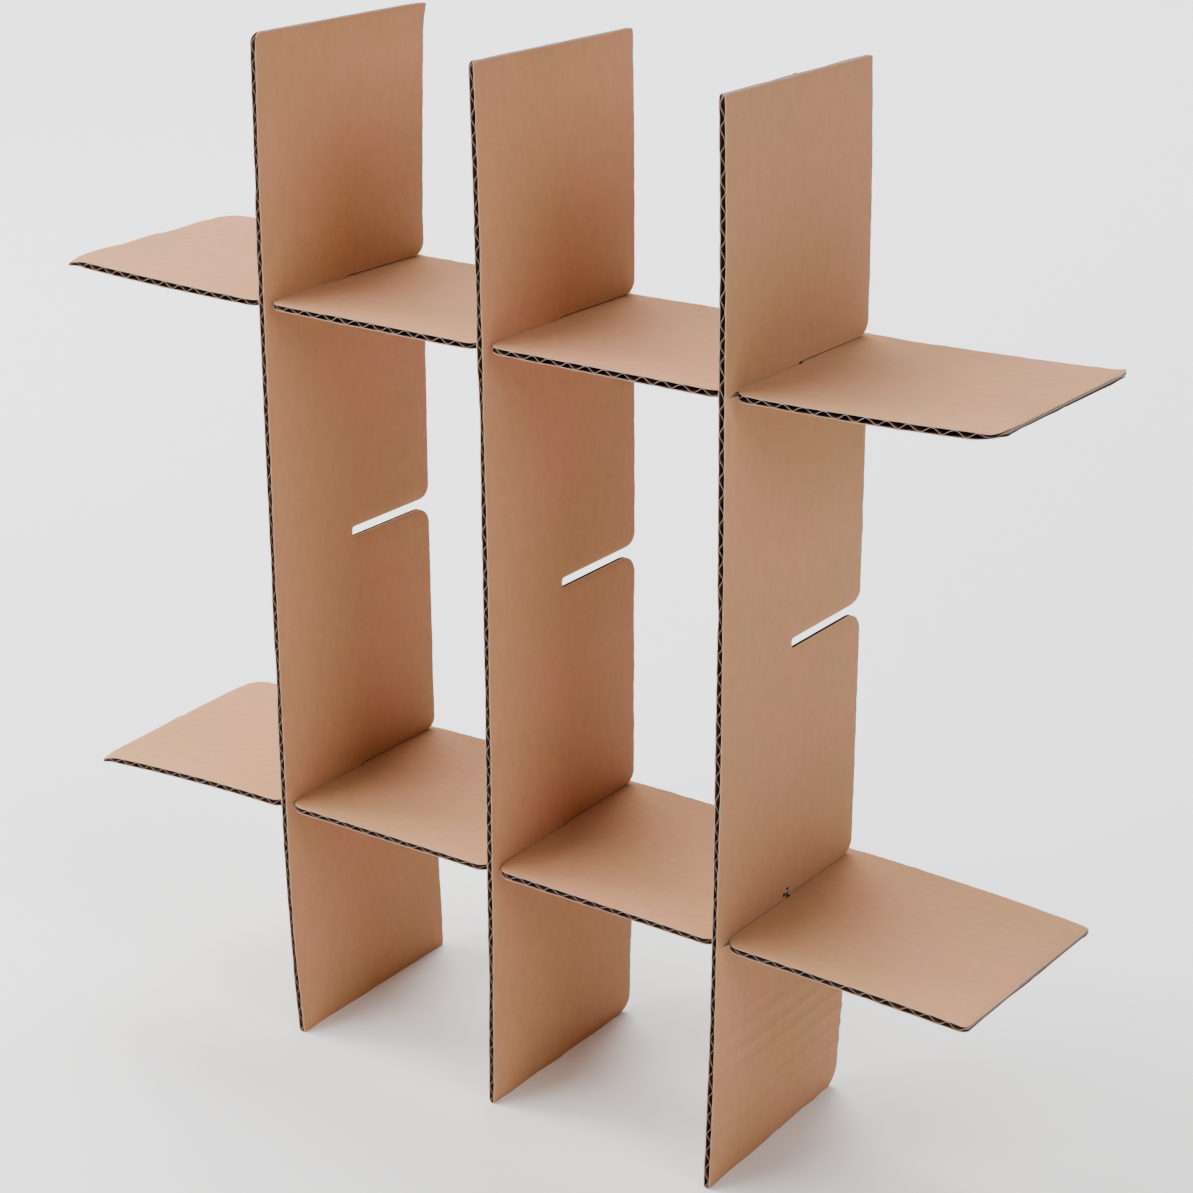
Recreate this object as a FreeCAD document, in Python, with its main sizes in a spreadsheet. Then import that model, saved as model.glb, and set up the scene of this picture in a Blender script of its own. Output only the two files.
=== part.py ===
import FreeCAD, Part
import math
import os
import Sketcher

# Bottle divider insert of single-wall corrugated board. Three long strips stand on their
# lower ends and two cross strips pass through them. Every strip is the same die-cut blank:
# a length of board with three slots that reach a little past the middle of its depth.
# Lengths are in millimetres. X runs along the cross strips, Y through the depth of the
# insert from front to back, and Z up the long strips.

DRIVING_SIZES = {
    # the board: two liners with a fluted medium glued between them
    "board_thickness": 2.4,
    "liner_thickness": 0.3,
    "medium_thickness": 0.25,
    "flute_pitch": 6.4,
    "glue_line_width": 1.6,
    "end_wall": 0.45,
    # the blank
    "strip_depth": 75.0,
    "cell_pitch": 83.0,
    "end_cell": 81.5,
    "corner_radius": 7.0,
    # the slots
    "slot_clearance": 0.4,
    "slot_overcut": 0.5,
    "mouth_radius": 5.0,
}

SLOTS_PER_STRIP = 3
SAME_PLACE = 0.01

# Derived sizes, as expressions on the sheet

SLOT_RUN = "%d * Sizes.cell_pitch" % (SLOTS_PER_STRIP - 1)
STRIP_LENGTH = "2 * Sizes.end_cell + " + SLOT_RUN
HALF_LENGTH = "(" + STRIP_LENGTH + ") / 2"
HALF_DEPTH = "Sizes.strip_depth / 2"
SLOT_WIDTH = "Sizes.board_thickness + 2 * Sizes.slot_clearance"
SLOT_DEPTH = "Sizes.strip_depth / 2 + Sizes.slot_overcut"
FIRST_SLOT_SIDE = "(" + SLOT_RUN + ") / 2 - (" + SLOT_WIDTH + ") / 2"

# A channel is a hollow between one liner and an arch of the medium. A pair is one channel
# on each liner, half a flute apart.
CHANNEL_BASE = "Sizes.flute_pitch - Sizes.glue_line_width"
CHANNEL_CROWN = "Sizes.glue_line_width - Sizes.medium_thickness"
CHANNEL_SLANT = "(" + CHANNEL_BASE + " - (" + CHANNEL_CROWN + ")) / 2"
CHANNEL_HEIGHT = "Sizes.board_thickness - 2 * Sizes.liner_thickness - Sizes.medium_thickness"
INNER_FACE = "Sizes.board_thickness / 2 - Sizes.liner_thickness"
PAIR_WIDTH = "1.5 * Sizes.flute_pitch - Sizes.glue_line_width"
LOWER_START = HALF_LENGTH + " - Sizes.end_wall"
UPPER_START = LOWER_START + " - Sizes.flute_pitch / 2"
FLUTE_PAIRS = ("floor((" + STRIP_LENGTH + " - 2 * Sizes.end_wall - (" + PAIR_WIDTH
               + ")) / Sizes.flute_pitch) + 1")
FLUTE_RUN = "(" + FLUTE_PAIRS + " - 1) * Sizes.flute_pitch"

# Ends and edges of a blank, as signs along its own length and depth. The slots open at EDGE_OPEN.
END_FIRST, END_LAST = -1, 1
EDGE_CLOSED, EDGE_OPEN = -1, 1

# How the blanks stand. A long strip stands on its first end with its slots open to the back
# of the insert. A cross strip lies level, turned end for end, with its slots open to the front.
UPRIGHT = FreeCAD.Rotation(FreeCAD.Vector(0, 1, 0), -90)
LEVEL = FreeCAD.Rotation(FreeCAD.Vector(0, 0, 1), 180)

# Each strip: its name, the slot of the other strips that it passes through, counted from the
# left or from below, and its corners that are rounded.
LONG_STRIPS = (
    ("long_strip_left", 0, [(END_LAST, EDGE_CLOSED)]),
    ("long_strip_middle", 1, [(END_FIRST, EDGE_OPEN)]),
    ("long_strip_right", 2, [(END_FIRST, EDGE_OPEN)]),
)
CROSS_STRIPS = (
    ("cross_strip_lower", 0, [(END_LAST, EDGE_CLOSED)]),
    ("cross_strip_upper", 2, [(END_LAST, EDGE_CLOSED), (END_FIRST, EDGE_OPEN)]),
)


def make_sheet(doc):
    """Write the driving sizes into a sheet, one alias to a row."""
    sheet = doc.addObject("Spreadsheet::Sheet", "Sizes")
    for row, (alias, value) in enumerate(DRIVING_SIZES.items(), start=1):
        sheet.set("A%d" % row, alias)
        sheet.set("B%d" % row, str(value))
        sheet.setAlias("B%d" % row, alias)
    doc.recompute()


def size(doc, expression):
    """What an expression on the sheet comes to."""
    return float(doc.getObject("Sizes").evalExpression(expression))


def origin_feature(body, role):
    """One of the body's own origin planes or axes."""
    return next(item for item in body.Origin.OriginFeatures if item.Role == role)


def new_sketch(body, name, plane):
    sketch = body.newObject("Sketcher::SketchObject", body.Name + "_" + name)
    sketch.AttachmentSupport = (origin_feature(body, plane), [""])
    sketch.MapMode = "FlatFace"
    return sketch


def bind(sketch, name, kind, points, expression):
    """Add a dimension between sketch points and tie it to the sheet."""
    constraint = Sketcher.Constraint(kind, *points, size(sketch.Document, expression))
    index = sketch.addConstraint(constraint)
    sketch.renameConstraint(index, name)
    sketch.setExpression("Constraints." + name, expression)


def constrain(sketch, kind, *points):
    sketch.addConstraint(Sketcher.Constraint(kind, *points))


def draw_polygon(sketch, corners):
    """Straight edges through the corners, closed, each joined to the next."""
    edges = []
    for start, end in zip(corners, corners[1:] + corners[:1]):
        line = Part.LineSegment(FreeCAD.Vector(*start, 0), FreeCAD.Vector(*end, 0))
        edges.append(sketch.addGeometry(line, False))
    for edge, following in zip(edges, edges[1:] + edges[:1]):
        constrain(sketch, "Coincident", edge, 2, following, 1)
    return edges


def draw_rectangle(sketch, left, right, lower, upper):
    """Square rectangle. Its edges come back as the lower, right, upper and left one."""
    edges = draw_polygon(sketch, [(left, lower), (right, lower), (right, upper), (left, upper)])
    for edge, direction in zip(edges, ("Horizontal", "Vertical", "Horizontal", "Vertical")):
        constrain(sketch, direction, edge)
    return edges


def draw_blank(body):
    """Rectangle of the blank, centred on the body's origin."""
    sketch = new_sketch(body, "blank", "XY_Plane")
    end = size(body.Document, HALF_LENGTH)
    edge = size(body.Document, HALF_DEPTH)
    lower, last, _, _ = draw_rectangle(sketch, -end, end, -edge, edge)
    bind(sketch, "strip_length", "DistanceX", (lower, 1, lower, 2), STRIP_LENGTH)
    bind(sketch, "strip_depth", "DistanceY", (last, 1, last, 2), "Sizes.strip_depth")
    bind(sketch, "half_length", "DistanceX", (-1, 1, last, 1), HALF_LENGTH)
    bind(sketch, "half_depth", "DistanceY", (-1, 1, last, 2), HALF_DEPTH)
    return sketch


def draw_slot(body):
    """First slot, from its square end to the open edge of the blank."""
    sketch = new_sketch(body, "slot_outline", "XY_Plane")
    doc = body.Document
    right = -size(doc, FIRST_SLOT_SIDE)
    left = right - size(doc, SLOT_WIDTH)
    edge = size(doc, HALF_DEPTH)
    inner = edge - size(doc, SLOT_DEPTH)
    slot_end, side, _, _ = draw_rectangle(sketch, left, right, inner, edge)
    bind(sketch, "slot_width", "DistanceX", (slot_end, 1, slot_end, 2), SLOT_WIDTH)
    bind(sketch, "slot_depth", "DistanceY", (side, 1, side, 2), SLOT_DEPTH)
    bind(sketch, "half_depth", "DistanceY", (-1, 1, side, 2), HALF_DEPTH)
    bind(sketch, "slot_place", "DistanceX", (side, 1, -1, 1), FIRST_SLOT_SIDE)
    return sketch


def draw_channel(sketch, name, side, start):
    """Trapezoid of one channel, with its wide base on the liner at that side (-1 or 1).

    start is the expression for how far before the middle of the strip its base begins.
    """
    doc = sketch.Document
    begin = -size(doc, start)
    base, slant = size(doc, CHANNEL_BASE), size(doc, CHANNEL_SLANT)
    base_y = side * size(doc, INNER_FACE)
    crown_y = base_y - side * size(doc, CHANNEL_HEIGHT)
    on_liner, _, crown, _ = draw_polygon(
        sketch, [(begin, base_y), (begin + base, base_y),
                 (begin + base - slant, crown_y), (begin + slant, crown_y)])
    constrain(sketch, "Horizontal", on_liner)
    constrain(sketch, "Horizontal", crown)
    bind(sketch, name + "_base", "DistanceX", (on_liner, 1, on_liner, 2), CHANNEL_BASE)
    bind(sketch, name + "_crown", "DistanceX", (crown, 2, crown, 1), CHANNEL_CROWN)
    bind(sketch, name + "_slant", "DistanceX", (on_liner, 1, crown, 2), CHANNEL_SLANT)
    bind(sketch, name + "_start", "DistanceX", (on_liner, 1, -1, 1), start)
    # a distance up the sketch is given from its lower point to its upper one
    below, above = (on_liner, crown) if side < 0 else (crown, on_liner)
    bind(sketch, name + "_height", "DistanceY", (below, 1, above, 1), CHANNEL_HEIGHT)
    liner_points = (on_liner, 1, -1, 1) if side < 0 else (-1, 1, on_liner, 1)
    bind(sketch, name + "_liner", "DistanceY", liner_points, INNER_FACE)


def draw_flute_section(body):
    """First pair of channels, seen along the depth of the strip."""
    sketch = new_sketch(body, "flute_section", "XZ_Plane")
    draw_channel(sketch, "lower", -1, LOWER_START)
    draw_channel(sketch, "upper", 1, UPPER_START)
    return sketch


def pad_board(body):
    """The board as a plain plate, its middle on the sketch."""
    board = body.newObject("PartDesign::Pad", body.Name + "_board")
    board.Profile = draw_blank(body)
    board.SideType = "Symmetric"
    board.setExpression("Length", "Sizes.board_thickness")
    body.Document.recompute()


def round_edges(body, name, places, radius):
    """Fillet the edges that run through the thickness of the plate at the given (x, y)."""
    plate = body.Tip
    names = []
    for index, edge in enumerate(plate.Shape.Edges, start=1):
        start, end = (vertex.Point for vertex in edge.Vertexes)
        upright = abs(start.z - end.z) > edge.Length / 2
        if upright and any(math.dist(place, (start.x, start.y)) < SAME_PLACE for place in places):
            names.append("Edge%d" % index)
    if len(names) != len(places):
        raise RuntimeError("%s_%s finds %d edges, not %d" % (body.Name, name, len(names), len(places)))
    fillet = body.newObject("PartDesign::Fillet", body.Name + "_" + name)
    fillet.Base = (plate, names)
    fillet.setExpression("Radius", radius)
    body.Tip = fillet
    body.Document.recompute()


def mouth_places(doc):
    """Where the two sides of every slot meet the open edge."""
    first = -size(doc, FIRST_SLOT_SIDE)
    pitch, width = size(doc, "Sizes.cell_pitch"), size(doc, SLOT_WIDTH)
    edge = size(doc, HALF_DEPTH)
    right_sides = [first + slot * pitch for slot in range(SLOTS_PER_STRIP)]
    return [(side, edge) for right in right_sides for side in (right - width, right)]


def corner_places(doc, corners):
    end, edge = size(doc, HALF_LENGTH), size(doc, HALF_DEPTH)
    return [(along * end, across * edge) for along, across in corners]


def cut_row(body, name, sketch, count, run):
    """Cut the sketch right through to both sides, and repeat it along the strip.

    count and run are expressions for the number of cuts and for the distance from the
    first to the last.
    """
    volume_before = body.Shape.Volume
    pocket = body.newObject("PartDesign::Pocket", body.Name + "_" + name)
    pocket.Profile = sketch
    pocket.Type = "ThroughAll"
    pocket.SideType = "Symmetric"
    row = body.newObject("PartDesign::LinearPattern", body.Name + "_" + name + "_row")
    row.Originals = [pocket]
    row.Direction = (origin_feature(body, "X_Axis"), [""])
    row.Mode = "Extent"
    row.setExpression("Length", run)
    row.setExpression("Occurrences", count)
    body.Tip = row
    body.Document.recompute()
    if not body.Shape.Volume < volume_before:
        raise RuntimeError(row.Name + " cuts nothing")


def make_strip(doc, name, rounded_corners):
    """One blank, flat, with its length on X, its depth on Y and its middle at the origin."""
    strip = doc.addObject("PartDesign::Body", name)
    strip.Label = name
    pad_board(strip)
    cut_row(strip, "slot", draw_slot(strip), str(SLOTS_PER_STRIP), SLOT_RUN)
    round_edges(strip, "rounded_corners", corner_places(doc, rounded_corners), "Sizes.corner_radius")
    round_edges(strip, "slot_mouths", mouth_places(doc), "Sizes.mouth_radius")
    cut_row(strip, "flute", draw_flute_section(strip), FLUTE_PAIRS, FLUTE_RUN)
    return strip


def make_insert(doc):
    """Place every strip in the slots that it passes through."""
    strips = []
    for name, slot, rounded_corners in LONG_STRIPS:
        strip = make_strip(doc, name, rounded_corners)
        strip.Placement = FreeCAD.Placement(FreeCAD.Vector(), UPRIGHT)
        strip.setExpression("Placement.Base.x", "%d * Sizes.cell_pitch - (%s) / 2" % (slot, SLOT_RUN))
        strip.setExpression("Placement.Base.z", HALF_LENGTH)
        strips.append(strip)
    for name, slot, rounded_corners in CROSS_STRIPS:
        strip = make_strip(doc, name, rounded_corners)
        strip.Placement = FreeCAD.Placement(FreeCAD.Vector(), LEVEL)
        strip.setExpression("Placement.Base.z", "Sizes.end_cell + %d * Sizes.cell_pitch" % slot)
        strips.append(strip)
    doc.recompute()
    return strips


def check(doc, strips):
    """Stop if any feature failed or a strip isn't one sound solid."""
    for item in doc.Objects:
        if "Invalid" in item.State or "Error" in item.State:
            raise RuntimeError(item.Name + ": " + ", ".join(item.State))
    for strip in strips:
        shape = strip.Shape
        if shape.isNull() or not shape.isValid() or len(shape.Solids) != 1:
            raise RuntimeError(strip.Label + " isn't one valid solid")


def export(strips):
    os.makedirs("parts", exist_ok=True)
    for strip in strips:
        strip.Shape.exportStep("parts/" + strip.Label + ".step")
        print("%s: %.0f mm3, %d faces" % (strip.Label, strip.Shape.Volume, len(strip.Shape.Faces)))


document = FreeCAD.newDocument("BottleDivider")
make_sheet(document)
insert_strips = make_insert(document)
check(document, insert_strips)
export(insert_strips)
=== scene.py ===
import math

import bpy
import numpy as np
from bpy.props import FloatProperty, FloatVectorProperty, PointerProperty
from mathutils import Matrix, Vector


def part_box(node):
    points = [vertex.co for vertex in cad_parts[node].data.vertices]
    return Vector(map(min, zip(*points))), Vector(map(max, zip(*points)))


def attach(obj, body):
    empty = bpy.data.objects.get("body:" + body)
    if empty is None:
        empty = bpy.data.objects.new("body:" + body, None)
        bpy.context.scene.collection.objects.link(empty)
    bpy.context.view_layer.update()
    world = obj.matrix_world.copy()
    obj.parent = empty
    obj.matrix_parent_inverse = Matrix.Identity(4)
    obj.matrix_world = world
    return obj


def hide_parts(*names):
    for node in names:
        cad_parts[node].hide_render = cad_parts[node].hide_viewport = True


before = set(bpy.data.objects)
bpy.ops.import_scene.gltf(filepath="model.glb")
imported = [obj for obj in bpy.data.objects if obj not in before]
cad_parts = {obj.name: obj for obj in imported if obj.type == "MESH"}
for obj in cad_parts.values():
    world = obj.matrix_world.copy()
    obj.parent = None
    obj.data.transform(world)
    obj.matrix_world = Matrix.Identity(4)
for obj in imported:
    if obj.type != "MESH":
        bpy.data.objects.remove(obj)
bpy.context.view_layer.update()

# Bottle divider insert of corrugated board: three long strips stand side by side and two cross
# strips pass through their slots. X runs along the cross strips, Y from front to back through
# the depth of the strips, and Z up the long strips. Lengths are in metres.

bl_info = {
    "name": "Bottle divider insert",
    "version": (1, 0, 0),
    "blender": (4, 5, 0),
    "location": "3D View > Sidebar > Divider",
    "description": "Corrugated board strips of a bottle divider insert, with their photo stage",
    "category": "Add Mesh",
}

MM = 0.001
TO_DECIMETRES = 10
BODY = "root"

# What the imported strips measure
MIDDLE_LOW, MIDDLE_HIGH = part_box("long_strip_middle")
LEFT_LOW, LEFT_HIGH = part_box("long_strip_left")
LOWER_LOW, LOWER_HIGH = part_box("cross_strip_lower")
UPPER_LOW, UPPER_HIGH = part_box("cross_strip_upper")
STRIP_LENGTH = MIDDLE_HIGH.z - MIDDLE_LOW.z
STRIP_DEPTH = MIDDLE_HIGH.y - MIDDLE_LOW.y
BOARD_THICKNESS = MIDDLE_HIGH.x - MIDDLE_LOW.x
CELL_PITCH = MIDDLE_LOW.x - LEFT_LOW.x
LOWER_LEVEL = (LOWER_LOW.z + LOWER_HIGH.z) / 2
UPPER_LEVEL = (UPPER_LOW.z + UPPER_HIGH.z) / 2

# A blank lies with its length on u, its depth on v and its thickness on w. Its slots open
# towards +v. Ends and edges are given as signs along u and v.
FIRST, LAST = -1, 1
CLOSED, OPEN = -1, 1

# Long strips stand on their first end with u up, v to the back and w to the left. Cross strips
# lie with u to the left, v to the front and w up. In millimetres:
#   slide     how far the strip sits out of place towards the back
#   corners   radius of each corner, by its end and edge
#   ears      bent corners: end, edge, how far the bend reaches and how far out along w the tip is
#   peels     the same, where only the upper liner has come away
#   dents     u, v, reach, push along u, push along v, lift along w, and share of the thickness lost
#   ripples   from and to along u, and how deep the lower liner sinks between the flutes there
#   tears     u from, u to, v from, v to of small pieces torn out at a slot's end
STRIPS = {
    "long_strip_left": {
        "stands": True, "place": -1, "slide": 0.50,
        "corners": {(LAST, CLOSED): 3.0},
        "ears": [(LAST, OPEN, 9.0, -1.5)],
        "dents": [(120.0, -37.5, 5.0, 0.0, 0.1, 0.0, 0.25), (-40.0, -37.5, 9.0, 0.0, 0.1, 0.0, 0.3)],
    },
    "long_strip_middle": {
        "stands": True, "place": 0, "slide": 0.50,
        "corners": {(LAST, CLOSED): 1.6, (FIRST, OPEN): 6.0},
        "ears": [],
        "dents": [(60.0, -37.5, 12.0, 0.0, 0.1, 0.0, 0.3), (-120.0, -37.5, 8.0, 0.0, 0.1, 0.0, 0.25)],
    },
    "long_strip_right": {
        "stands": True, "place": 1, "slide": -1.20,
        "corners": {(FIRST, OPEN): 6.0},
        "ears": [(LAST, OPEN, 5.0, -0.2)],
        "dents": [(164.5, -0.5, 1.0, 0.3, 0.0, 0.0, 0.0), (20.0, -37.5, 6.0, 0.0, 0.1, 0.0, 0.25)],
        "ripples": [(-160.0, -106.0, 0.30)],
        "tears": [(-81.5, -78.8, -1.0, 1.1), (-81.5, -79.9, -2.5, -0.8)],
    },
    "cross_strip_lower": {
        "stands": False, "place": LOWER_LEVEL, "slide": 0.50,
        "corners": {(LAST, CLOSED): 7.7, (FIRST, OPEN): 2.0},
        "ears": [(LAST, OPEN, 7.0, -1.0)],
        "dents": [(164.0, 37.0, 5.0, 0.0, 0.0, 0.0, 0.35)],
    },
    "cross_strip_upper": {
        "stands": False, "place": UPPER_LEVEL, "slide": 0.50,
        "corners": {(LAST, CLOSED): 9.0, (FIRST, OPEN): 7.4},
        "ears": [(LAST, OPEN, 7.0, -1.2), (FIRST, CLOSED, 4.0, 0.2)],
        "peels": [(FIRST, CLOSED, 3.0, 0.6)],
        "dents": [(164.0, 37.0, 6.0, 0.0, 0.0, 0.0, 0.45), (-161.5, 35.5, 2.6, 0.0, -0.4, -0.3, 0.45)],
    },
}

# How the boards bend, in millimetres. A long strip's middle and free ends move to the right, and
# its back edge moves that much more than its middle line. A cross strip's middle and free ends
# move up in the same way.
LONG_BENDS = {
    -1: {"shift": -0.198, "lean": 0.702, "yaw": 0.775, "low": 2.403, "low_twist": -1.005, "high": 2.053,
         "high_twist": 0.517, "middle": -0.306, "middle_twist": -0.201},
    0: {"shift": -0.562, "lean": 0.414, "yaw": 0.442, "low": -1.483, "low_twist": -0.364, "high": -0.820,
        "high_twist": 0.273, "middle": 0.317, "middle_twist": -0.187},
    1: {"shift": -0.472, "lean": 0.480, "yaw": 0.332, "low": -2.686, "low_twist": -0.786, "high": -1.128,
        "high_twist": -0.171, "middle": 0.415, "middle_twist": -0.140},
}
CROSS_BENDS = {
    "lower": {"shift": 0.605, "pitch": 0.113, "left": -2.879, "left_twist": 1.181, "right": -2.371,
              "right_twist": -0.816, "middle": 0.894, "middle_twist": 0.469},
    "upper": {"shift": 0.640, "pitch": -0.424, "left": 2.415, "left_twist": 0.583, "right": 2.529,
              "right_twist": -0.260, "middle": -0.312, "middle_twist": -0.157},
}
RACKING = math.radians(-0.189)

# Square soft lights: azimuth from the front towards the right and elevation in degrees, distance
# and width in metres, share of the light power, and the point they face
INSERT_MIDDLE, FAR_FLOOR = (0.0, 0.0, 0.165), (-1.5, 2.2, 0.0)
SOFT_LIGHTS = {
    "right_low": (74.0, 25.0, 1.9, 0.7, 0.44, INSERT_MIDDLE),
    "right_high": (85.0, 68.0, 1.8, 0.8, 0.26, INSERT_MIDDLE),
    "left_low": (-80.0, 32.0, 1.9, 0.8, 1.10, INSERT_MIDDLE),
    "left_high": (-60.0, 60.0, 1.9, 0.8, 0.75, INSERT_MIDDLE),
    "front_left": (-30.0, 25.0, 1.9, 0.8, 0.65, INSERT_MIDDLE),
    "behind": (170.0, 40.0, 1.9, 1.0, 0.20, INSERT_MIDDLE),
    "backdrop": (0.0, 89.0, 2.6, 2.5, 7.50, FAR_FLOOR),
}


class DividerBoard(bpy.types.PropertyGroup):
    """Make-up of the board and the cut of its blanks."""

    thickness: FloatProperty(
        name="Board thickness", description="Over both liners, as packed",
        default=BOARD_THICKNESS, min=0.001, precision=5, unit="LENGTH", subtype="DISTANCE")
    liner: FloatProperty(
        name="Liner", description="Thickness of each flat outer sheet",
        default=0.30 * MM, min=0.05 * MM, precision=5, unit="LENGTH", subtype="DISTANCE")
    fluting: FloatProperty(
        name="Fluting", description="Thickness of the waved middle sheet",
        default=0.22 * MM, min=0.05 * MM, precision=5, unit="LENGTH", subtype="DISTANCE")
    flute_pitch: FloatProperty(
        name="Flute pitch", description="From one crest of the waved sheet to the next",
        default=6.4 * MM, min=MM, precision=5, unit="LENGTH", subtype="DISTANCE")
    slot_clearance: FloatProperty(
        name="Slot clearance", description="Free room on each side of a board in its slot",
        default=0.4 * MM, min=0.0, precision=5, unit="LENGTH", subtype="DISTANCE")
    slot_overcut: FloatProperty(
        name="Slot overcut", description="How far a slot is cut past the middle of the strip",
        default=0.5 * MM, min=0.0, precision=5, unit="LENGTH", subtype="DISTANCE")
    slot_end: FloatProperty(
        name="Slot end corner", description="Radius of the two corners at the inner end of a slot",
        default=1.1 * MM, min=0.0, precision=5, unit="LENGTH", subtype="DISTANCE")
    mouth_first: FloatProperty(
        name="Mouth corner, first side",
        description="Radius where a slot's side nearer the first end meets the edge",
        default=6.0 * MM, min=0.0, precision=5, unit="LENGTH", subtype="DISTANCE")
    mouth_last: FloatProperty(
        name="Mouth corner, last side",
        description="Radius where a slot's side nearer the last end meets the edge",
        default=4.0 * MM, min=0.0, precision=5, unit="LENGTH", subtype="DISTANCE")
    sharp_corner: FloatProperty(
        name="Sharp corner", description="Radius of the corners that aren't rounded",
        default=0.6 * MM, min=0.0, precision=5, unit="LENGTH", subtype="DISTANCE")


class DividerWear(bpy.types.PropertyGroup):
    """How far the strips are from new and flat."""

    bend: FloatProperty(
        name="Bend", description="How much of the measured bend of the strips is kept, from none to all",
        default=1.0, min=0.0, max=1.0, subtype="FACTOR")
    crush: FloatProperty(
        name="Edge crush", description="Share of the thickness that the long cut edges have lost",
        default=0.06, min=0.0, max=0.3, subtype="FACTOR")
    end_crush: FloatProperty(
        name="End crush", description="Share of the thickness that the ends have lost",
        default=0.38, min=0.0, max=0.5, subtype="FACTOR")
    end_fill: FloatProperty(
        name="End fill",
        description="Share of the gap between the liners that folded fluting fills at the ends",
        default=0.62, min=0.0, max=0.95, subtype="FACTOR")
    slot_crush: FloatProperty(
        name="Slot crush", description="Share of the thickness that the sides of an empty slot have lost",
        default=0.42, min=0.0, max=0.5, subtype="FACTOR")
    held_crush: FloatProperty(
        name="Held slot crush", description="The same at a slot that holds another strip",
        default=0.08, min=0.0, max=0.5, subtype="FACTOR")
    crush_reach: FloatProperty(
        name="Crush reach", description="How far in from a cut edge the crush fades",
        default=1.4 * MM, min=0.1 * MM, precision=5, unit="LENGTH", subtype="DISTANCE")
    ragged: FloatProperty(
        name="Ragged edge", description="How far the cut edges wander",
        default=0.035 * MM, min=0.0, precision=5, unit="LENGTH", subtype="DISTANCE")
    washboard: FloatProperty(
        name="Washboard", description="How deep the liners sink between the flutes",
        default=0.035 * MM, min=0.0, precision=5, unit="LENGTH", subtype="DISTANCE")
    uneven: FloatProperty(
        name="Uneven flutes", description="How far the flutes wander along the strip",
        default=0.35 * MM, min=0.0, precision=5, unit="LENGTH", subtype="DISTANCE")


class DividerColours(bpy.types.PropertyGroup):
    """Colours of the board."""

    liner: FloatVectorProperty(
        name="Liner", description="Kraft liner", subtype="COLOR", size=3, min=0.0, max=1.0,
        default=(0.430, 0.218, 0.110))
    liner_pink: FloatVectorProperty(
        name="Pinkish patches", description="Where the liner turns towards pink", subtype="COLOR",
        size=3, min=0.0, max=1.0, default=(0.472, 0.216, 0.124))
    liner_straw: FloatVectorProperty(
        name="Straw patches", description="Where the liner turns towards straw", subtype="COLOR",
        size=3, min=0.0, max=1.0, default=(0.395, 0.221, 0.098))
    cut_liner: FloatVectorProperty(
        name="Cut liner", description="Liner where it is cut through", subtype="COLOR",
        size=3, min=0.0, max=1.0, default=(0.46, 0.30, 0.21))
    cut_fluting: FloatVectorProperty(
        name="Cut fluting", description="Fluting where it is cut through", subtype="COLOR",
        size=3, min=0.0, max=1.0, default=(0.27, 0.19, 0.16))
    # Kept very dark: painted shade for the hollows between the liners, over a greyer paper colour
    fluting: FloatVectorProperty(
        name="Fluting", description="Waved middle sheet and the inside of the liners", subtype="COLOR",
        size=3, min=0.0, max=1.0, default=(0.12, 0.065, 0.042))


class DividerStage(bpy.types.PropertyGroup):
    """Floor, light and camera of the picture."""

    floor_colour: FloatVectorProperty(
        name="Floor", description="Plain pale floor", subtype="COLOR", size=3, min=0.0, max=1.0,
        default=(0.88, 0.88, 0.88))
    surround: FloatProperty(
        name="Surround", description="Brightness of the even light from all sides",
        default=0.05, min=0.0)
    light_power: FloatProperty(
        name="Light power", description="Power of a soft light whose share is one",
        default=34.0, min=0.0, unit="POWER")
    camera_place: FloatVectorProperty(
        name="Camera", description="Where the camera stands", subtype="TRANSLATION", size=3,
        unit="LENGTH", precision=4, default=(0.4745, -0.6486, 0.4705))
    azimuth: FloatProperty(
        name="Azimuth", description="How far round to the right of the front the camera looks from",
        default=math.radians(35.417), subtype="ANGLE", unit="ROTATION")
    elevation: FloatProperty(
        name="Elevation", description="How far above the horizon the camera looks from",
        default=math.radians(21.069), subtype="ANGLE", unit="ROTATION")
    roll: FloatProperty(
        name="Roll", description="How far the camera leans to its left",
        default=math.radians(-0.296), subtype="ANGLE", unit="ROTATION")
    lens: FloatProperty(
        name="Lens", description="Focal length on a 36 mm wide sensor, in millimetres",
        default=84.906, min=1.0)


def waves(u, v, seed, shortest, longest, count=10):
    """Slow uneven surface of about unit height: the sum of cosines of seeded random wavelength,
    heading and phase, each cos(k (u cos heading + v sin heading) + phase)."""
    rng = np.random.default_rng(seed)
    k = 2 * np.pi / rng.uniform(shortest, longest, count)
    heading, phase = rng.uniform(0, 2 * np.pi, (2, count))
    total = np.zeros(np.broadcast(u, v).shape)
    for index in range(count):
        total += np.cos(k[index] * (u * np.cos(heading[index]) + v * np.sin(heading[index])) + phase[index])
    return total / math.sqrt(count / 2)


def arc_inset(distance, radius):
    """How far a rounded corner stands back from the edge: r - sqrt(r^2 - (r - d)^2) at the
    distance d along the edge from the corner, and nothing past r."""
    inside = np.clip(radius - distance, 0, radius)
    return radius - np.sqrt(radius ** 2 - inside ** 2)


def corner_radius(strip, board, end, edge):
    """Radius of one corner of the blank."""
    return strip["corners"].get((end, edge), board.sharp_corner / MM) * MM


def slot_centres():
    """Where the three slots lie along u."""
    return CELL_PITCH * np.array([-1.0, 0.0, 1.0])


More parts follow.
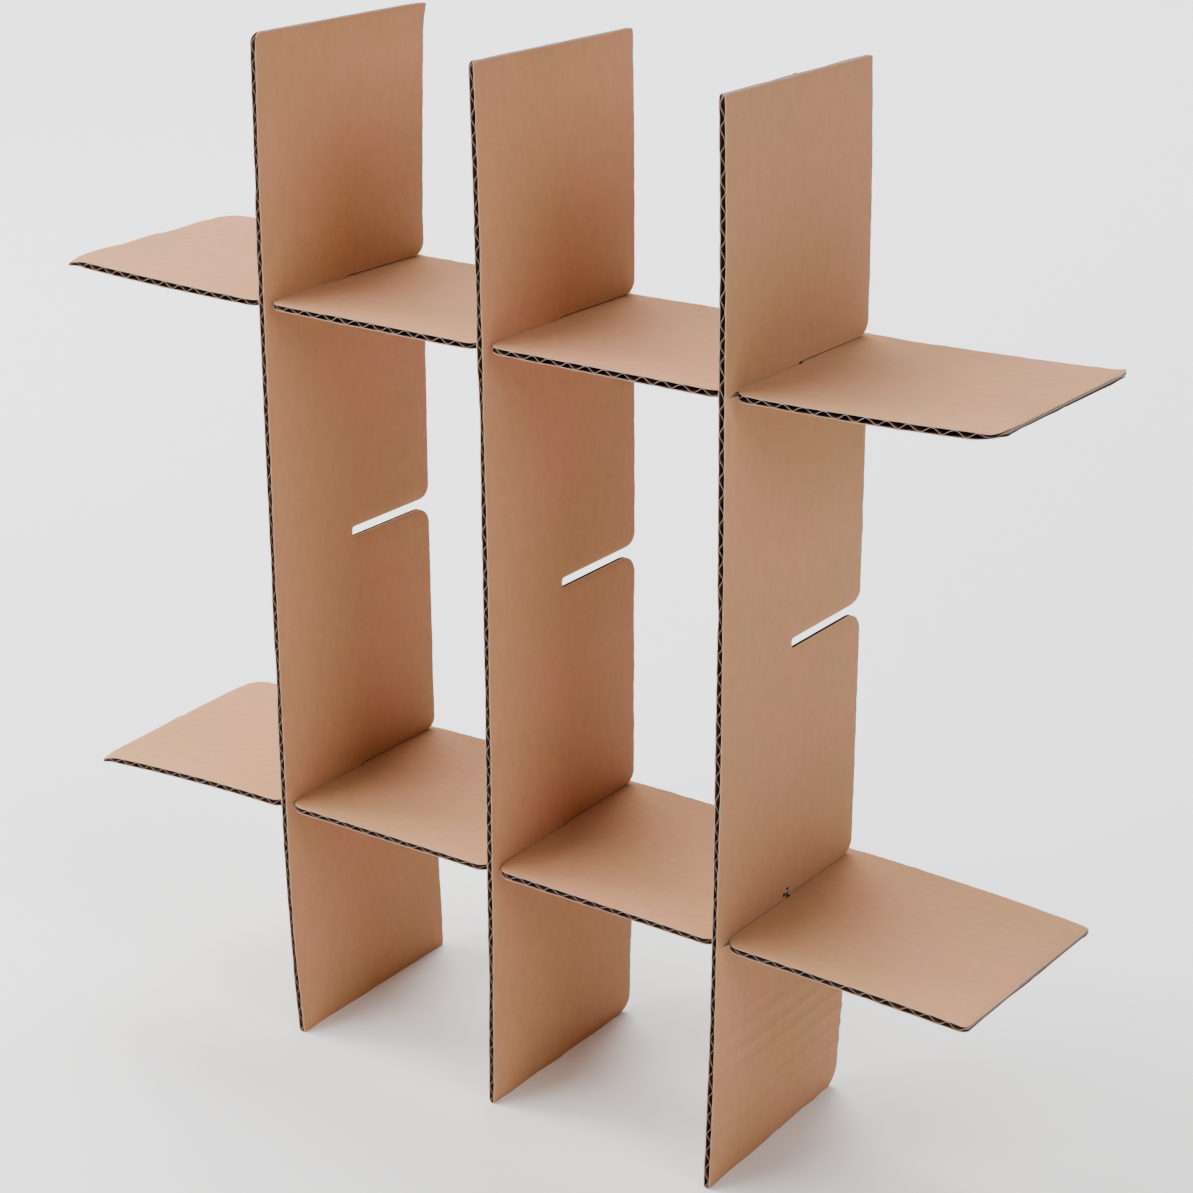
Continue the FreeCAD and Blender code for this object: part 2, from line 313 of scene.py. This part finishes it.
def blank_lines(strip, board):
    """Places along u where the blank is sampled: ten to a flute, the sides of the slots, and
    closer ones near the ends and round each rounded corner, at r (1 - cos t) from where the
    round begins."""
    half = STRIP_LENGTH / 2
    slot_half = board.thickness / 2 + board.slot_clearance
    turn = 1 - np.cos(np.linspace(0, np.pi / 2, 7))
    near_end = half - np.array([0.4, 0.9, 1.8]) * MM
    special = [near_end, -near_end]
    for end in (FIRST, LAST):
        for edge in (CLOSED, OPEN):
            special.append(end * (half - corner_radius(strip, board, end, edge) * turn))
    for centre in slot_centres():
        special.append(centre - slot_half - board.mouth_first * turn)
        special.append(centre + slot_half + board.mouth_last * turn)
        special.append(centre - slot_half + board.slot_end * turn)
        special.append(centre + slot_half - board.slot_end * turn)
    special = np.unique(np.round(np.concatenate(special), 6))
    step = board.flute_pitch / 10
    regular = np.linspace(-half, half, int(round(STRIP_LENGTH / step)) + 1)
    gap = np.abs(regular[:, None] - special[None]).min(1)
    return np.sort(np.concatenate([regular[gap > 0.3 * step], special]))


def blank_edges(u, strip, board):
    """Where the closed edge, the row of the slot ends and the open edge lie on v for each u.
    Corners, slot mouths and the corners of the slot ends are quarter circles."""
    half, depth = STRIP_LENGTH / 2, STRIP_DEPTH / 2
    slot_half = board.thickness / 2 + board.slot_clearance
    closed, opened = np.full(len(u), -depth), np.full(len(u), depth)
    slot_end = np.full(len(u), -board.slot_overcut)
    for end in (FIRST, LAST):
        to_end = np.clip(half - end * u, 0, None)
        closed += arc_inset(to_end, corner_radius(strip, board, end, CLOSED))
        opened -= arc_inset(to_end, corner_radius(strip, board, end, OPEN))
    for centre in slot_centres():
        before, after = centre - slot_half - u, u - centre - slot_half
        opened -= np.where(before >= -1e-9, arc_inset(np.clip(before, 0, None), board.mouth_first), 0)
        opened -= np.where(after >= -1e-9, arc_inset(np.clip(after, 0, None), board.mouth_last), 0)
        inside = np.minimum(u - centre + slot_half, centre + slot_half - u)
        slot_end += np.where(inside >= -1e-9, arc_inset(np.clip(inside, 0, None), board.slot_end), 0)
    return closed, slot_end, opened


# How far the unevenness, the ragged line, the folded fluting and the rubbed look reach in from a
# cut edge, and how long ripples take to fade in. Then how deep the waved sheet is glued into the
# liners, the least that a rippled liner keeps and the most of the thickness that is lost.
WAVER_REACH = 1.5 * MM
RAGGED_REACH = 0.4 * MM
FOLD_REACH = 0.7 * MM
WORN_REACH = 0.6 * MM
RIPPLE_FADE = 8 * MM
GLUE_DEPTH = 0.02 * MM
THINNEST_LINER = 0.1 * MM
MOST_CRUSHED = 0.7

# Rows across the depth, close together near the cut edges and the slot ends: shares of the way
# from the closed edge to the slot ends, and from there to the open edge.
CLOSED_ROWS = np.array([0.0, 0.008, 0.022, 0.05, 0.11, 0.24, 0.42, 0.64, 0.85, 0.954, 1.0])
OPEN_ROWS = np.array([0.04, 0.15, 0.36, 0.58, 0.76, 0.89, 0.95, 0.978, 0.992, 1.0])


def blank_grid(strip, board):
    """Grid of points (u, v) over the blank, how far each is from the long edges, the ends, the
    slots that hold a strip and the empty slot, and which cells are board. A point lies at a
    share of the way between the edges at its own u."""
    u = blank_lines(strip, board)
    closed, slot_end, opened = blank_edges(u, strip, board)
    lower = closed[:, None] + CLOSED_ROWS * (slot_end - closed)[:, None]
    upper = slot_end[:, None] + OPEN_ROWS * (opened - slot_end)[:, None]
    v = np.concatenate([lower, upper], axis=1)
    across = np.broadcast_to(u[:, None], v.shape)
    slot_half = board.thickness / 2 + board.slot_clearance
    beside = np.clip(np.abs(across[..., None] - slot_centres()) - slot_half, 0, None)
    to_slots = np.hypot(beside, np.clip(slot_end[:, None] - v, 0, None)[..., None])
    held = [0, 2] if strip["stands"] else [0, 1, 2]
    distances = {
        "edge": np.minimum(v - closed[:, None], opened[:, None] - v),
        "end": STRIP_LENGTH / 2 - np.abs(across),
        "held": to_slots[..., held].min(-1),
    }
    if strip["stands"]:
        distances["empty"] = to_slots[..., 1]
    cells = np.ones((v.shape[0] - 1, v.shape[1] - 1), bool)
    middle = (u[1:] + u[:-1]) / 2
    in_slot = np.abs(middle[:, None] - slot_centres()[None]).min(1) < slot_half
    cells[in_slot, len(CLOSED_ROWS) - 1:] = False
    centre_v = (v[1:, 1:] + v[:-1, :-1]) / 2
    for u_from, u_to, v_from, v_to in strip.get("tears", ()):
        torn = (middle > u_from * MM) & (middle < u_to * MM)
        cells &= ~(torn[:, None] & (centre_v > v_from * MM) & (centre_v < v_to * MM))
    return across, v, distances, cells


def sheet_quads(cells):
    """Corner numbers of one closed sheet over the cells: its upper side, its lower side turned
    over, and a wall wherever a cell has no neighbour. The lower side's points follow the upper's.
    Each group comes with whether it is a wall."""
    lines, rows = cells.shape[0] + 1, cells.shape[1] + 1
    number = np.arange(lines * rows).reshape(lines, rows)
    below = lines * rows
    i, j = np.nonzero(cells)
    a, b, c, d = number[i, j], number[i + 1, j], number[i + 1, j + 1], number[i, j + 1]
    top = np.stack([a, b, c, d], 1)
    bottom = np.stack([d, c, b, a], 1) + below
    padded = np.pad(cells, 1)
    walls = []
    # along u, facing -v and +v
    here, before = padded[1:-1, 1:], padded[1:-1, :-1]
    for edge, flip in ((here & ~before, False), (before & ~here, True)):
        i, j = np.nonzero(edge)
        p, q = number[i, j], number[i + 1, j]
        walls.append(np.stack([q, p, p + below, q + below] if not flip else [p, q, q + below, p + below], 1))
    # along v, facing -u and +u
    here, before = padded[1:, 1:-1], padded[:-1, 1:-1]
    for edge, flip in ((here & ~before, False), (before & ~here, True)):
        i, j = np.nonzero(edge)
        p, q = number[i, j], number[i, j + 1]
        walls.append(np.stack([p, q, q + below, p + below] if not flip else [q, p, p + below, q + below], 1))
    return top, bottom, np.concatenate(walls)


def bend_ears(u, v, ears):
    """Bent corners: w grows as the square of how far a point is past the bend line, which cuts
    the corner at the ear's reach from its tip."""
    lift = np.zeros(u.shape)
    for end, edge, reach, out in ears:
        to_tip = (STRIP_LENGTH / 2 - end * u) + (STRIP_DEPTH / 2 - edge * v)
        lift += out * MM * np.clip(1 - to_tip / (reach * MM), 0, None) ** 2
    return lift


def edge_crush(u, v, distances, wear, seed):
    """Share of the thickness kept: 1 less each kind of cut edge's crush, which fades with the
    distance d as exp(-d / reach) and varies along the strip in slow and quick waves. The second
    result is how worn the surface is: 1 on any cut edge, fading in the same way."""
    slow = np.clip(waves(u, v * 0.2, seed + 4, 25 * MM, 110 * MM), 0, None)
    quick = waves(u, v, seed + 3, 3 * MM, 14 * MM)
    faded = {kind: np.exp(-d / wear.crush_reach) for kind, d in distances.items()}
    lost = (wear.crush * faded["edge"] * (1 + 0.5 * quick + 1.6 * slow)
            + wear.end_crush * faded["end"] * (1 + 0.3 * quick)
            + wear.held_crush * faded["held"]
            + wear.slot_crush * faded.get("empty", 0.0))
    worn = np.maximum.reduce([np.exp(-d / WORN_REACH) for d in distances.values()])
    return 1 - np.clip(lost, 0, MOST_CRUSHED), worn


def ripple_depth(u, v, strip, seed):
    """How much deeper than the washboard the lower liner sinks between the flutes, where
    the strip has ripples, each fading in from its ends and uneven from flute to flute."""
    depth = np.zeros(u.shape)
    for u_from, u_to, extra in strip.get("ripples", ()):
        inside = (np.clip((u - u_from * MM) / RIPPLE_FADE, 0, 1)
                  * np.clip((u_to * MM - u) / RIPPLE_FADE, 0, 1))
        uneven = np.clip(0.55 + 0.55 * waves(u, v * 0.15, seed + 5, 9 * MM, 26 * MM, 6), 0, 1.6)
        depth += extra * MM * inside * uneven
    return depth


def board_sheets(strip, board, wear, seed):
    """Points of the three sheets of one blank as (u, v, w), each an upper and a lower side.

    The liners are flat sheets that sink a little between the flutes. The fluting is a sine of u,
    thick by its own thickness measured square to its slope, and it is folded flat at the two
    ends, where it fills most of the gap. Near the cut edges everything is pressed towards the
    middle."""
    u, v, distances, cells = blank_grid(strip, board)
    half = board.thickness / 2
    near_edge = np.exp(-distances["edge"] / WAVER_REACH)
    wander = wear.uneven * waves(u, v * 0.3, seed, 18 * MM, 70 * MM)
    wander += 0.6 * wear.uneven * near_edge * waves(u, v, seed + 1, 4 * MM, 12 * MM)
    phase = 2 * np.pi * (u + wander) / board.flute_pitch
    height = half - board.liner - board.fluting / 2 + GLUE_DEPTH
    middle = height * np.sin(phase)
    slope = height * 2 * np.pi / board.flute_pitch * np.cos(phase)
    thick = board.fluting / 2 * np.sqrt(1 + slope ** 2)
    flattened = wear.end_fill * np.exp(-distances["end"] / FOLD_REACH)
    middle = middle * (1 - flattened)
    thick = thick + flattened * (height - thick)
    sink = wear.washboard * (1 + 0.5 * waves(u, v, seed + 2, 30 * MM, 90 * MM))
    upper_face = half - sink * (1 - np.sin(phase)) / 2
    lower_face = -half + (sink + ripple_depth(u, v, strip, seed)) * (1 + np.sin(phase)) / 2
    kept, worn = edge_crush(u, v, distances, wear, seed)
    lift = bend_ears(u, v, strip["ears"])
    push_u, push_v = np.zeros(u.shape), np.zeros(u.shape)
    for at_u, at_v, reach, along, across, out, loss in strip["dents"]:
        here = np.exp(-((u - at_u * MM) ** 2 + (v - at_v * MM) ** 2) / (reach * MM) ** 2)
        push_u += along * MM * here
        push_v += across * MM * here
        lift += out * MM * here
        kept *= 1 - loss * here
    inner = half - board.liner
    layers = [(upper_face, np.full(u.shape, inner), bend_ears(u, v, strip.get("peels", ()))),
              (np.full(u.shape, -inner), np.minimum(lower_face, -inner - THINNEST_LINER), 0.0),
              (middle + thick, middle - thick, 0.0)]
    ragged = wear.ragged * np.exp(-distances["edge"] / RAGGED_REACH)
    sheets = []
    for index, (top, bottom, peel) in enumerate(layers):
        drift = push_v + ragged * waves(u, v, seed + 10 + index, 2.5 * MM, 12 * MM) * np.sign(v)
        sheets.append([np.stack([u + push_u, v + drift, side * kept + lift + peel], -1)
                       for side in (top, bottom)])
    return sheets, worn, cells


def hat(x, place):
    """How much a long strip's movement counts at x: 1 on that strip, falling in a straight line
    to 0 on the next one, and held past the outer ones."""
    t = np.clip(x / CELL_PITCH, -1, 1)
    return np.clip(1 - np.abs(t - place), 0, 1)


def level_share(z):
    """How much the upper cross strip's movement counts at height z: 0 on the lower strip and
    below, 1 on the upper strip and above. The lower strip's counts for the rest, fading to
    nothing on the floor."""
    upper = np.clip((z - LOWER_LEVEL) / (UPPER_LEVEL - LOWER_LEVEL), 0, 1)
    return upper, (1 - upper) * np.clip(z / LOWER_LEVEL, 0, 1)


def bend_insert(points, amount):
    """Move points as the whole insert is bent. Free ends bend with the square of their distance
    past the outer crossing, and the stretch between crossings bows as 1 - t^2."""
    x, y, z = points[..., 0], points[..., 1], points[..., 2]
    across = y / (STRIP_DEPTH / 2)
    low = np.clip((LOWER_LEVEL - z) / LOWER_LEVEL, 0, None) ** 2
    high = np.clip((z - UPPER_LEVEL) / (STRIP_LENGTH - UPPER_LEVEL), 0, None) ** 2
    centre = (LOWER_LEVEL + UPPER_LEVEL) / 2
    between = np.clip(1 - ((z - centre) / (UPPER_LEVEL - centre)) ** 2, 0, None)
    sideways = math.tan(RACKING) / MM * (z - centre)
    height = np.clip((z - centre) / CELL_PITCH, -1.6, 1.6)
    for place, bend in LONG_BENDS.items():
        sideways = sideways + hat(x, place) * (
            bend["shift"] + bend["lean"] * height + bend["yaw"] * across
            + (bend["low"] + bend["low_twist"] * across) * low
            + (bend["high"] + bend["high_twist"] * across) * high
            + (bend["middle"] + bend["middle_twist"] * across) * between)
    free = STRIP_LENGTH / 2 - CELL_PITCH
    left = np.clip((-CELL_PITCH - x) / free, 0, None) ** 2
    right = np.clip((x - CELL_PITCH) / free, 0, None) ** 2
    bow = np.clip(1 - (x / CELL_PITCH) ** 2, 0, None)
    up = np.zeros(x.shape)
    for share, bend in zip(level_share(z), (CROSS_BENDS["upper"], CROSS_BENDS["lower"])):
        up += share * (bend["shift"] + bend["pitch"] * across
                       + (bend["left"] + bend["left_twist"] * across) * left
                       + (bend["right"] + bend["right_twist"] * across) * right
                       + (bend["middle"] + bend["middle_twist"] * across) * bow)
    moved = points.copy()
    moved[..., 0] += amount * MM * sideways
    moved[..., 2] += amount * MM * up
    return moved


def stand_up(points, strip):
    """Turn blank coordinates (u, v, w) into the insert's own."""
    u, v, w = points[..., 0], points[..., 1], points[..., 2]
    if strip["stands"]:
        placed = [strip["place"] * CELL_PITCH - w, v + strip["slide"] * MM, u + STRIP_LENGTH / 2]
    else:
        placed = [-u, -v + strip["slide"] * MM, strip["place"] + w]
    return np.stack(placed, -1)


def board_mesh(name, strip, board, wear, seed):
    """One strip as three closed sheets in one mesh, with a map of the board in decimetres and a
    wear attribute that is 1 on the cut edges."""
    sheets, worn_edge, cells = board_sheets(strip, board, wear, seed)
    top, bottom, walls = sheet_quads(cells)
    points, maps, edges, quads, materials = [], [], [], [], []
    for index, sides in enumerate(sheets):
        start = sum(len(p) for p in points)
        for side, flat in enumerate(sides):
            bent = bend_insert(stand_up(flat, strip), wear.bend)
            points.append(bent.reshape(-1, 3))
            shift = np.array([3.1 * seed, 1.3 * side + 2.7 * index])
            maps.append((flat[..., :2] * TO_DECIMETRES + shift).reshape(-1, 2))
            edges.append(worn_edge.reshape(-1))
        outside = {0: top, 1: bottom}.get(index)
        for group in (top, bottom, walls):
            quads.append(group + start)
            # Inner liner faces and the fluting take the fluting material, whose dark colour is painted shade
            # for the flute hollows
            kind = (1 if index < 2 else 3) if group is walls else 0 if group is outside else 2
            materials.append(np.full(len(group), kind))
    points, quads = np.concatenate(points), np.concatenate(quads)
    used, quads = np.unique(quads, return_inverse=True)
    quads = quads.reshape(-1, 4)
    points = points[used]
    mapped = np.concatenate(maps)[used]
    worn = np.concatenate(edges)[used]

    mesh = bpy.data.meshes.new(name)
    mesh.from_pydata(points, [], quads)
    mesh.polygons.foreach_set("material_index", np.concatenate(materials).astype(np.int32))
    layer = mesh.uv_layers.new(name="board_map")
    layer.data.foreach_set("uv", mapped[quads.reshape(-1)].astype(np.float32).reshape(-1))
    wear_layer = mesh.attributes.new("cut_edge_wear", "FLOAT", "POINT")
    wear_layer.data.foreach_set("value", worn.astype(np.float32))
    mesh.shade_smooth()
    mesh.set_sharp_from_angle(angle=math.radians(50))
    mesh.update()
    return mesh


def add_node(material, kind, **settings):
    """Add a shader node. Each setting is one of its inputs or one of its properties."""
    node = material.node_tree.nodes.new(kind)
    for key, value in settings.items():
        if key in node.inputs:
            node.inputs[key].default_value = value
        else:
            setattr(node, key, value)
    return node


def board_noise(material, source, scale, detail, roughness=0.5, distortion=0.0, stretch=(1, 1, 1)):
    """Noise over the board map, longer along the strip where stretch is below 1 on X."""
    mapping = add_node(material, "ShaderNodeMapping", Scale=stretch)
    noise = add_node(material, "ShaderNodeTexNoise", Scale=scale, Detail=detail, Roughness=roughness,
                     Distortion=distortion)
    links = material.node_tree.links
    links.new(source.outputs[0], mapping.inputs["Vector"])
    links.new(mapping.outputs[0], noise.inputs["Vector"])
    return noise.outputs[0]


def ramp(material, source, stops):
    """Turn a socket's value into a grey by stops of (place, grey)."""
    node = add_node(material, "ShaderNodeValToRGB")
    elements = node.color_ramp.elements
    while len(elements) < len(stops):
        elements.new(0.5)
    for element, (place, grey) in zip(elements, stops):
        element.position = place
        element.color = (grey, grey, grey, 1.0)
    material.node_tree.links.new(source, node.inputs[0])
    return node.outputs[0]


def bump_surface(material, shader, height, strength, depth):
    """Roughen a shader's surface by the height in a socket."""
    bump = add_node(material, "ShaderNodeBump", Strength=strength, Distance=depth)
    material.node_tree.links.new(height, bump.inputs["Height"])
    material.node_tree.links.new(bump.outputs[0], shader.inputs["Normal"])


def mix_colour(material, mode, share, first, second):
    """Mix two colours. Each of share, first and second is a socket or a value."""
    node = add_node(material, "ShaderNodeMix", data_type="RGBA", blend_type=mode)
    for index, value in ((0, share), (6, first), (7, second)):
        if isinstance(value, bpy.types.NodeSocket):
            material.node_tree.links.new(value, node.inputs[index])
        else:
            node.inputs[index].default_value = value if index == 0 else (*value, 1.0)
    return node.outputs[2]


def paper_material(name):
    """Empty material with a shader, its board map and its settings for dull paper."""
    material = bpy.data.materials.get(name) or bpy.data.materials.new(name)
    material.use_nodes = True
    tree = material.node_tree
    tree.nodes.clear()
    shader = add_node(material, "ShaderNodeBsdfPrincipled")
    shader.inputs["Specular IOR Level"].default_value = 0.22
    shader.inputs["Roughness"].default_value = 0.86
    output = add_node(material, "ShaderNodeOutputMaterial")
    tree.links.new(shader.outputs[0], output.inputs[0])
    board_map = add_node(material, "ShaderNodeUVMap", uv_map="board_map")
    return material, shader, board_map


def kraft_liner_material(colours):
    """Kraft liner: broad pink and straw patches, cloudy mottling, long fibres along the strip,
    dark and light specks, and a paler rubbed line at the cut edges."""
    material, shader, board_map = paper_material("kraft_liner")
    links = material.node_tree.links
    patches = ramp(material, board_noise(material, board_map, 2.2, 2.0), [(0.36, 0.0), (0.64, 1.0)])
    colour = mix_colour(material, "MIX", patches, colours.liner_straw, colours.liner_pink)
    colour = mix_colour(material, "MIX", 0.5, colour, colours.liner)
    cloud = ramp(material, board_noise(material, board_map, 34.0, 5.0, 0.62, stretch=(0.6, 1.0, 1.0)),
                 [(0.30, 0.94), (0.70, 1.05)])
    colour = mix_colour(material, "MULTIPLY", 1.0, colour, cloud)
    fibres = ramp(material, board_noise(material, board_map, 330.0, 4.0, 0.7, 0.4, (0.30, 1.0, 1.0)),
                  [(0.28, 0.90), (0.52, 1.0), (0.76, 1.06)])
    colour = mix_colour(material, "MULTIPLY", 0.75, colour, fibres)
    specks = ramp(material, board_noise(material, board_map, 760.0, 1.0, 0.4, 0.0, (0.45, 1.0, 1.0)),
                  [(0.70, 1.0), (0.78, 0.80)])
    colour = mix_colour(material, "MULTIPLY", 0.8, colour, specks)
    worn = add_node(material, "ShaderNodeAttribute", attribute_name="cut_edge_wear")
    rubbed = ramp(material, worn.outputs["Fac"], [(0.35, 0.0), (0.95, 0.55)])
    colour = mix_colour(material, "MIX", rubbed, colour, colours.cut_liner)
    links.new(colour, shader.inputs["Base Color"])
    rough = ramp(material, board_noise(material, board_map, 60.0, 3.0), [(0.3, 0.80), (0.7, 0.93)])
    links.new(rough, shader.inputs["Roughness"])
    grain = board_noise(material, board_map, 420.0, 5.0, 0.65, 0.2, (0.35, 1.0, 1.0))
    bump_surface(material, shader, grain, 0.30, 0.12 * MM)
    return material


def cut_paper_material(name, base):
    """Paper cut through: streaky and very dull."""
    material, shader, board_map = paper_material(name)
    streaks = ramp(material, board_noise(material, board_map, 240.0, 4.0, 0.7), [(0.3, 0.55), (0.7, 1.2)])
    colour = mix_colour(material, "MULTIPLY", 1.0, base, streaks)
    material.node_tree.links.new(colour, shader.inputs["Base Color"])
    bump_surface(material, shader, board_noise(material, board_map, 500.0, 3.0, 0.7), 0.5, 0.2 * MM)
    return material


def fluting_painted_shade_material(colours):
    """Fluting and the glued side of the liners: greyer paper with a soft mottle, its colour darkened far
    below the liner's as painted shade for the hollows between the liners.
    """
    material, shader, board_map = paper_material("fluting_paper_painted_shade")
    mottle = ramp(material, board_noise(material, board_map, 120.0, 4.0, 0.6), [(0.3, 0.75), (0.7, 1.15)])
    colour = mix_colour(material, "MULTIPLY", 1.0, colours.fluting, mottle)
    material.node_tree.links.new(colour, shader.inputs["Base Color"])
    bump_surface(material, shader, board_noise(material, board_map, 420.0, 3.0, 0.7), 0.3, 0.1 * MM)
    return material


def add_strips(scene, names):
    """Make the boards of the named strips and put them in place of their CAD nodes."""
    colours = scene.divider_colours
    materials = [kraft_liner_material(colours), cut_paper_material("cut_liner", colours.cut_liner),
                 fluting_painted_shade_material(colours), cut_paper_material("cut_fluting", colours.cut_fluting)]
    order = list(STRIPS)
    for name in names:
        mesh = board_mesh(name + "_board", STRIPS[name], scene.divider_board, scene.divider_wear,
                          31 + 17 * order.index(name))
        for material in materials:
            mesh.materials.append(material)
        piece = bpy.data.objects.new(name + "_board", mesh)
        scene.collection.objects.link(piece)
        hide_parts(name)
        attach(piece, BODY)


class DIVIDER_OT_add_long_strips(bpy.types.Operator):
    """Add the three long strips that stand on their lower ends"""

    bl_idname = "divider.add_long_strips"
    bl_label = "Long strips"

    def execute(self, context):
        add_strips(context.scene, [name for name, strip in STRIPS.items() if strip["stands"]])
        return {"FINISHED"}


class DIVIDER_OT_add_cross_strips(bpy.types.Operator):
    """Add the two level strips that pass through the slots of the long ones"""

    bl_idname = "divider.add_cross_strips"
    bl_label = "Cross strips"

    def execute(self, context):
        add_strips(context.scene, [name for name, strip in STRIPS.items() if not strip["stands"]])
        return {"FINISHED"}


FLOOR_REACH = 4.0


def add_floor(scene, colour):
    """Flat square floor, made from a grid of four points."""
    corner = np.array([-FLOOR_REACH, FLOOR_REACH])
    x, y = np.meshgrid(corner, corner, indexing="ij")
    points = np.stack([x, y, np.zeros_like(x)], -1).reshape(-1, 3)
    mesh = bpy.data.meshes.new("floor")
    mesh.from_pydata(points, [], [(0, 2, 3, 1)])
    material = bpy.data.materials.new("floor_paint")
    material.use_nodes = True
    shader = material.node_tree.nodes["Principled BSDF"]
    shader.inputs["Base Color"].default_value = (*colour, 1.0)
    shader.inputs["Roughness"].default_value = 0.9
    shader.inputs["Specular IOR Level"].default_value = 0.1
    mesh.materials.append(material)
    floor = bpy.data.objects.new("floor", mesh)
    scene.collection.objects.link(floor)


def look_back(azimuth, elevation):
    """Unit vector towards a light or camera at an azimuth and elevation in radians."""
    return Vector((math.sin(azimuth) * math.cos(elevation), -math.cos(azimuth) * math.cos(elevation),
                   math.sin(elevation)))


def add_soft_lights(scene, power):
    """Square area lights, each facing its own point."""
    for name, (azimuth, elevation, distance, width, share, target) in SOFT_LIGHTS.items():
        light = bpy.data.lights.new(name, "AREA")
        light.shape = "SQUARE"
        light.size = width
        light.energy = power * share
        lamp = bpy.data.objects.new(name, light)
        scene.collection.objects.link(lamp)
        back = look_back(math.radians(azimuth), math.radians(elevation))
        lamp.location = Vector(target) + distance * back
        lamp.rotation_euler = (-back).to_track_quat("-Z", "Y").to_euler()


def add_camera(scene, stage):
    """Camera that looks from the azimuth and elevation, leaned by the roll."""
    roll = stage.roll
    back = look_back(stage.azimuth, stage.elevation)
    right = Vector((math.cos(stage.azimuth), math.sin(stage.azimuth), 0.0))
    up = back.cross(right)
    leaned_right = math.cos(roll) * right + math.sin(roll) * up
    leaned_up = math.cos(roll) * up - math.sin(roll) * right
    turn = Matrix((leaned_right, leaned_up, back)).transposed().to_4x4()
    lens = bpy.data.cameras.new("photo_camera")
    lens.sensor_width = 36.0
    lens.lens = stage.lens
    lens.clip_end = 50.0
    camera = bpy.data.objects.new("photo_camera", lens)
    scene.collection.objects.link(camera)
    camera.matrix_world = Matrix.Translation(Vector(stage.camera_place)) @ turn
    scene.camera = camera


def add_surround(scene, strength):
    """Even white light from all sides."""
    world = bpy.data.worlds.new("surround")
    scene.world = world
    world.use_nodes = True
    background = world.node_tree.nodes["Background"]
    background.inputs["Color"].default_value = (1.0, 1.0, 1.0, 1.0)
    background.inputs["Strength"].default_value = strength


class DIVIDER_OT_add_stage(bpy.types.Operator):
    """Add the floor, the soft lights and the camera of the picture"""

    bl_idname = "divider.add_stage"
    bl_label = "Stage"

    def execute(self, context):
        scene = context.scene
        stage = scene.divider_stage
        add_floor(scene, stage.floor_colour)
        add_surround(scene, stage.surround)
        add_soft_lights(scene, stage.light_power)
        add_camera(scene, stage)
        return {"FINISHED"}


class DIVIDER_PT_panel(bpy.types.Panel):
    """Sizes, wear and colours of the insert, and the buttons that add its parts"""

    bl_idname = "DIVIDER_PT_panel"
    bl_label = "Bottle divider insert"
    bl_space_type = "VIEW_3D"
    bl_region_type = "UI"
    bl_category = "Divider"

    def draw(self, context):
        scene = context.scene
        groups = (("Board", scene.divider_board), ("Wear", scene.divider_wear),
                  ("Colours", scene.divider_colours), ("Stage", scene.divider_stage))
        for title, group in groups:
            box = self.layout.box()
            box.label(text=title)
            for prop in group.__annotations__:
                box.prop(group, prop)
        for operator in (DIVIDER_OT_add_long_strips, DIVIDER_OT_add_cross_strips, DIVIDER_OT_add_stage):
            self.layout.operator(operator.bl_idname)


CLASSES = (DividerBoard, DividerWear, DividerColours, DividerStage, DIVIDER_OT_add_long_strips,
           DIVIDER_OT_add_cross_strips, DIVIDER_OT_add_stage, DIVIDER_PT_panel)


def register():
    for cls in CLASSES:
        bpy.utils.register_class(cls)
    bpy.types.Scene.divider_board = PointerProperty(type=DividerBoard)
    bpy.types.Scene.divider_wear = PointerProperty(type=DividerWear)
    bpy.types.Scene.divider_colours = PointerProperty(type=DividerColours)
    bpy.types.Scene.divider_stage = PointerProperty(type=DividerStage)


def unregister():
    del bpy.types.Scene.divider_stage
    del bpy.types.Scene.divider_colours
    del bpy.types.Scene.divider_wear
    del bpy.types.Scene.divider_board
    for cls in reversed(CLASSES):
        bpy.utils.unregister_class(cls)


def main():
    register()
    bpy.ops.divider.add_long_strips()
    bpy.ops.divider.add_cross_strips()
    bpy.ops.divider.add_stage()


if __name__ == "__main__":
    main()
